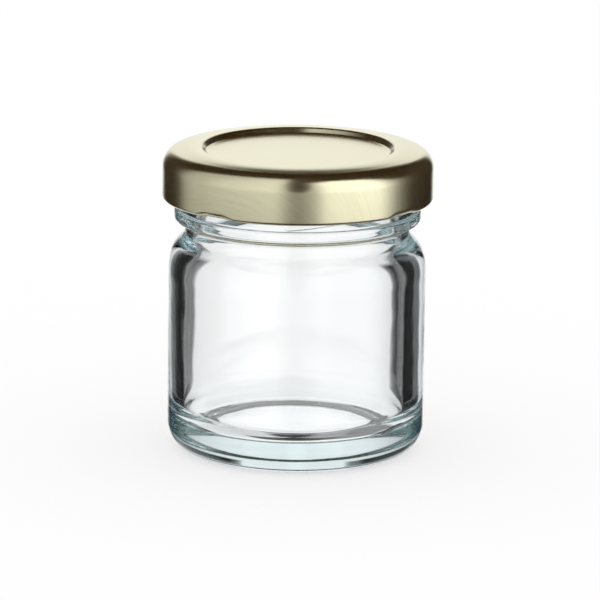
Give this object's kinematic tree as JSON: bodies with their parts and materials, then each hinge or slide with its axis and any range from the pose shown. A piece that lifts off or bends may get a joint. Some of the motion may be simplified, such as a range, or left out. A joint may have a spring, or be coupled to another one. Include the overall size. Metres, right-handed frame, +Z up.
{
  "type": "jam jar with lid",
  "caption": "Small empty clear-glass jam jar with a threaded finish, closed by a satin gold sheet-metal twist-off lid with a recessed panel.",
  "frame": {"origin": "on the jar's axis, at the plane of the bearing ring that it stands on (bottom centre of the box)", "axes": "+Z up along the jar's axis; -Y towards the front, where one thread ramp starts under the lid; +X to the right seen from the front"},
  "size_m": [0.046, 0.046, 0.0523],
  "materials": {
    "clear_glass": "clear, fire-polished, faintly blue-green at the edges",
    "gold_lacquered_tinplate": "satin gold lacquer over fine rolled grain",
    "sealing_compound": "matt, off-white"
  },
  "bodies": {
    "root": {"glass_jar": "clear_glass", "lid": "gold_lacquered_tinplate", "seal_ring": "sealing_compound"}
  },
  "joints": []
}
